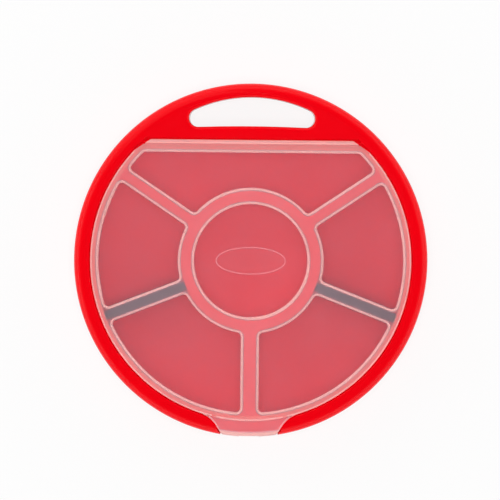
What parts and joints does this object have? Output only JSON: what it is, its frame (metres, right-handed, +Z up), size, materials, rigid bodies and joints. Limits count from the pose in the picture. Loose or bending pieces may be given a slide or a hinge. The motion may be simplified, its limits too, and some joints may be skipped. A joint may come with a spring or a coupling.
{
  "type": "storage caddy",
  "caption": "Round flat storage caddy with a carrying handle, a compartment tray with lift-out dividers, and a frosted hinged lid that closes with a snap tab.",
  "frame": {"origin": "middle of the flat back, on the surface that the caddy lies on", "axes": "+Z up through the lid, +Y towards the handle, +X to the right seen from the lid's side"},
  "size_m": [0.3, 0.3, 0.05],
  "materials": {
    "red_polypropylene": "satin moulded",
    "frosted_polypropylene": "frosted translucent",
    "black_polypropylene": "matte moulded",
    "steel": "bright"
  },
  "bodies": {
    "case": {"outer_shell": "red_polypropylene", "back_cover": "red_polypropylene", "compartment_tray": "red_polypropylene", "divider_left": "black_polypropylene", "divider_right": "black_polypropylene", "hinge_rod": "red_polypropylene", "case_screws": "steel"},
    "lid": {"lid": "frosted_polypropylene"},
    "latch": {"lid_latch": "frosted_polypropylene"}
  },
  "joints": [
    {"name": "lid_hinge", "type": "hinge", "parent": "case", "child": "lid", "pos_m": [0, 0.1005, 0.04825], "axis": [-1, 0, 0], "range_deg": [0, 105]},
    {"name": "latch_flex", "type": "hinge", "parent": "lid", "child": "latch", "pos_m": [0, -0.1316, 0.049], "axis": [-1, 0, 0], "range_deg": [0, 25], "stiffness_Nm_per_rad": 0.05}
  ]
}
